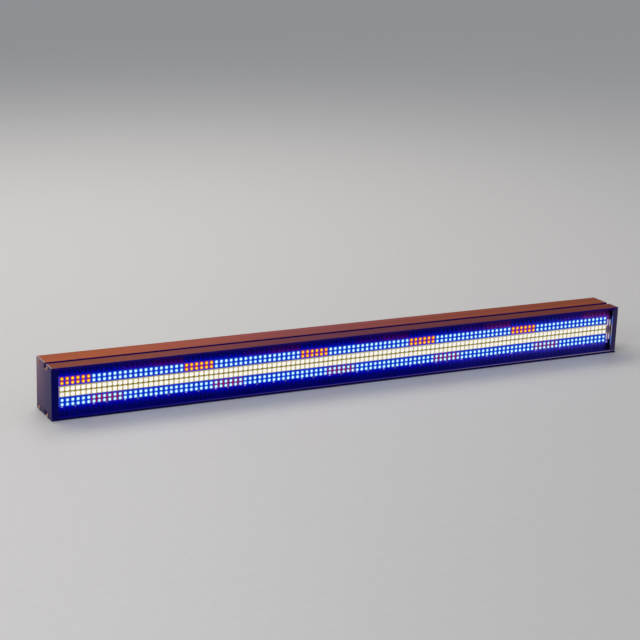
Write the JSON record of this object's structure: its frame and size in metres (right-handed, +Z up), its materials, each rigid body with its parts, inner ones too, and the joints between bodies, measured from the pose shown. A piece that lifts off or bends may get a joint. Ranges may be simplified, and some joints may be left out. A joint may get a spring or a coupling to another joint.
{
  "type": "led strip batten",
  "caption": "Long LED strobe and pixel batten: dark anodised extrusion with T-slots, flanged end plates, clear front pane, rear connectors and menu.",
  "frame": {"origin": "middle of the footprint, on the surface that the batten stands on", "axes": "+X along the length, towards the feed-board end; -Y out of the LED side; +Z up"},
  "size_m": [0.9936, 0.07, 0.079],
  "materials": {
    "anodised_aluminium": "dark bronze-brown anodised extrusion, satin, fine lengthwise die lines",
    "black_screw": "blackened steel",
    "board_black": "black solder mask, semi-gloss",
    "board_green": "green solder mask",
    "brass_parts": "plain brass",
    "button_rubber": "black silicone rubber",
    "can_sleeve": "dark blue shrink sleeve",
    "cartridge_glass": "glass tube with metal caps",
    "chip_black": "black moulded parts",
    "chip_ceramic": "small surface-mount parts with bright ends",
    "clear_pane": "clear polished acrylic",
    "connector_black": "black glass-filled nylon",
    "connector_blue": "blue glass-filled nylon",
    "connector_grey": "light grey glass-filled nylon",
    "contact_metal": "gold-plated contacts",
    "display_dark": "dark display module",
    "display_lens": "smoked display lens",
    "ferrite": "dark ferrite",
    "header_white": "natural white nylon",
    "latch_steel": "pressed steel",
    "lead_sleeve": "flexible black insulation",
    "pad_silicone": "grey silicone",
    "powder_coat": "dark grey fine-grained powder coat",
    "rear_paint": "black powder coat",
    "rgb_led": "white LED packages with clear resin, lit",
    "screw_steel": "zinc-plated steel",
    "sink_aluminium": "mill finish",
    "socket_dark": "dark grey moulded plastic",
    "supply_steel": "galvanised sheet",
    "white_led": "white LED packages with yellow phosphor, lit"
  },
  "bodies": {
    "batten": {"connector_screws": "black_screw", "control_board": "board_green", "control_posts": "brass_parts", "data_inlet": "connector_black", "data_outlet": "connector_black", "data_pins": "contact_metal", "display_lens": "display_lens", "display_module": "display_dark", "driver_board_left": "board_green", "driver_board_right": "board_green", "driver_chips": "chip_black", "driver_coils": "ferrite", "driver_spacers": "brass_parts", "driver_terminals": "header_white", "earth_stud": "brass_parts", "end_plate_left": "powder_coat", "end_plate_right": "powder_coat", "end_screws_left": "screw_steel", "end_screws_right": "screw_steel", "feed_board": "board_black", "feed_headers": "header_white", "feed_socket": "socket_dark", "front_window": "clear_pane", "fuse_holder": "connector_black", "housing_extrusion": "anodised_aluminium", "led_board_1": "board_black", "led_board_2": "board_black", "led_board_3": "board_black", "led_board_4": "board_black", "led_board_5": "board_black", "led_board_screws": "screw_steel", "mains_blades": "contact_metal", "mains_inlet": "connector_blue", "mains_leads": "lead_sleeve", "mains_outlet": "connector_grey", "menu_switches": "chip_black", "pixel_chips": "chip_ceramic", "power_leads": "lead_sleeve", "rear_panel": "rear_paint", "rear_panel_screws": "black_screw", "rgb_leds_lower": "rgb_led", "rgb_leds_upper": "rgb_led", "signal_leads": "lead_sleeve", "supply_board": "board_green", "supply_capacitors": "can_sleeve", "supply_case": "supply_steel", "supply_cover": "supply_steel", "supply_heat_sinks": "sink_aluminium", "supply_terminals": "connector_black", "supply_transformer": "ferrite", "thermal_pads": "pad_silicone", "white_leds": "white_led"},
    "menu_button_mode": {"menu_button_mode": "button_rubber"},
    "menu_button_up": {"menu_button_up": "button_rubber"},
    "menu_button_down": {"menu_button_down": "button_rubber"},
    "menu_button_enter": {"menu_button_enter": "button_rubber"},
    "data_latch": {"data_outlet_latch": "latch_steel"},
    "fuse_cap": {"fuse_cap": "connector_black", "fuse_cartridge": "cartridge_glass"}
  },
  "joints": [
    {"name": "menu_button_mode_press", "type": "slide", "parent": "batten", "child": "menu_button_mode", "axis": [0, -1, 0], "range_m": [0, 0.0007], "stiffness_N_per_m": 400, "springref_m": -0.001},
    {"name": "menu_button_up_press", "type": "slide", "parent": "batten", "child": "menu_button_up", "axis": [0, -1, 0], "range_m": [0, 0.0007], "stiffness_N_per_m": 400, "springref_m": -0.001},
    {"name": "menu_button_down_press", "type": "slide", "parent": "batten", "child": "menu_button_down", "axis": [0, -1, 0], "range_m": [0, 0.0007], "stiffness_N_per_m": 400, "springref_m": -0.001},
    {"name": "menu_button_enter_press", "type": "slide", "parent": "batten", "child": "menu_button_enter", "axis": [0, -1, 0], "range_m": [0, 0.0007], "stiffness_N_per_m": 400, "springref_m": -0.001},
    {"name": "data_latch_press", "type": "slide", "parent": "batten", "child": "data_latch", "axis": [0, -1, 0], "range_m": [0, 0.0015], "stiffness_N_per_m": 500, "springref_m": -0.001},
    {"name": "fuse_cap_turn", "type": "hinge", "parent": "batten", "child": "fuse_cap", "pos_m": [-0.132, 0.0306, 0.0395], "axis": [0, 1, 0], "range_deg": [0, 60]}
  ]
}
